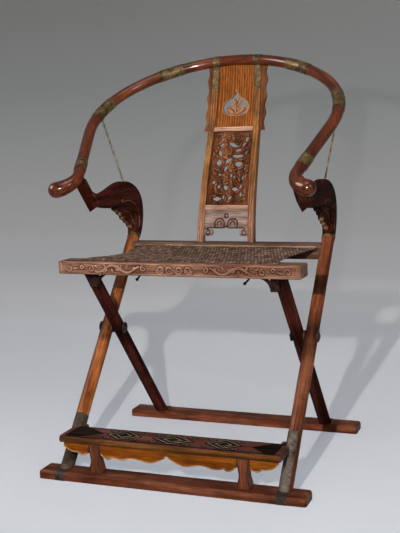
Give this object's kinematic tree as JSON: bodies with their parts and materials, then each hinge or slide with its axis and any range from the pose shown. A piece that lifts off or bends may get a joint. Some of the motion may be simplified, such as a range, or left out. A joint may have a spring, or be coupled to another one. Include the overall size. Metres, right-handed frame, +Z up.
{
  "type": "folding horseshoe armchair",
  "caption": "Folding armchair with crossed round legs, woven seat, sloping horseshoe crest rail with turned-out hands, curved pierced splat, carved necks with brass stays, hinged footrest",
  "frame": {"origin": "Middle of the chair's box, on the floor", "axes": "X across the chair with the sitter's left at +X, Y from the front to the back, Z up"},
  "size_m": [0.7202, 0.6546, 1.075],
  "materials": {
    "crest_wood": "polished",
    "leg_wood": "worn satin",
    "dark_wood": "dark satin",
    "splat_wood": "satin",
    "footrest_wood": "satin",
    "brass": "aged",
    "iron": "worn",
    "webbing": "woven cord"
  },
  "bodies": {
    "back_frame": {"front_foot_rail": "leg_wood", "front_foot_straps": "iron", "rear_seat_rail": "leg_wood", "seat_webbing": "webbing", "crest_centre": "crest_wood", "crest_wedge_pins": "footrest_wood", "splat_upper_rail": "splat_wood", "splat_lower_rail": "splat_wood", "splat_top_panel": "splat_wood", "splat_middle_panel": "splat_wood", "splat_bottom_panel": "splat_wood", "long_leg_left": "leg_wood", "long_leg_right": "leg_wood", "pivot_pin_left": "iron", "pivot_pin_right": "iron", "pivot_washers_left": "iron", "pivot_washers_right": "iron", "crest_shoulder_left": "crest_wood", "crest_shoulder_right": "crest_wood", "crest_arm_left": "crest_wood", "crest_arm_right": "crest_wood", "shoulder_strap_left": "brass", "shoulder_strap_right": "brass", "side_strap_left": "brass", "side_strap_right": "brass", "hand_strap_left": "brass", "hand_strap_right": "brass", "arm_neck_left": "dark_wood", "arm_neck_right": "dark_wood", "neck_band_left": "brass", "neck_band_right": "brass", "neck_spandrel_left": "dark_wood", "neck_spandrel_right": "dark_wood", "arm_stay_left": "brass", "arm_stay_right": "brass", "splat_stile_left": "splat_wood", "splat_stile_right": "splat_wood", "splat_wing_left": "splat_wood", "splat_wing_right": "splat_wood", "splat_strap_left": "brass", "splat_strap_right": "brass"},
    "seat_frame": {"rear_foot_rail": "leg_wood", "rear_foot_straps": "iron", "front_seat_rail": "leg_wood", "short_leg_left": "dark_wood", "short_leg_right": "dark_wood", "corner_brace_left": "iron", "corner_brace_right": "iron"},
    "footrest": {"footrest_board": "footrest_wood", "footrest_apron": "footrest_wood", "footrest_bracket_left": "footrest_wood", "footrest_bracket_right": "footrest_wood", "footrest_leg_left": "footrest_wood", "footrest_leg_right": "footrest_wood", "footrest_lug_left": "iron", "footrest_lug_right": "iron"}
  },
  "joints": [
    {"name": "fold", "type": "hinge", "parent": "back_frame", "child": "seat_frame", "pos_m": [0, -0.01874, 0.334], "axis": [-1, 0, 0], "range_deg": [0, 68], "deforming": ["seat_webbing"]},
    {"name": "footrest_flip", "type": "hinge", "parent": "back_frame", "child": "footrest", "pos_m": [0, -0.21125, 0.107], "axis": [-1, 0, 0], "range_deg": [0, 85]}
  ]
}
